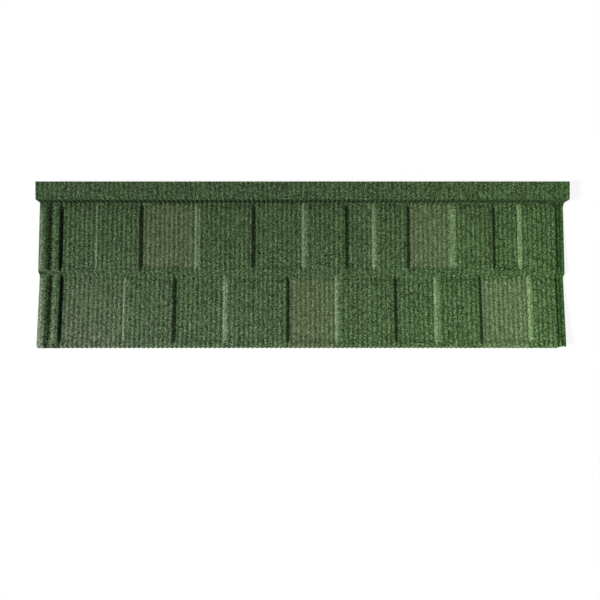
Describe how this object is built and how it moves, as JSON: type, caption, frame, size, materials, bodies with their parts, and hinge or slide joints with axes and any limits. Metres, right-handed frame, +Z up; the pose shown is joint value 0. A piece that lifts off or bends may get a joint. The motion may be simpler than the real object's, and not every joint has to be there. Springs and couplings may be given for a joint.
{
  "type": "metal roofing sheet",
  "caption": "Pressed steel roofing sheet with two courses of slate-like tabs, a rear batten shelf, side laps and a bent-down nose, coated with stone granules",
  "frame": {"origin": "under the middle of the sheet, on the floor that it lies on", "axes": "X runs along the eaves, from the lap on the left to the flap on the right; +Y points up the roof slope to the rear shelf and -Y down it to the nose; +Z points up, away from the roof"},
  "size_m": [1.34, 0.42, 0.03],
  "materials": {
    "stone_coated_steel": "matt granule coat"
  },
  "bodies": {
    "root": {"roofing_sheet": "stone_coated_steel"}
  },
  "joints": []
}
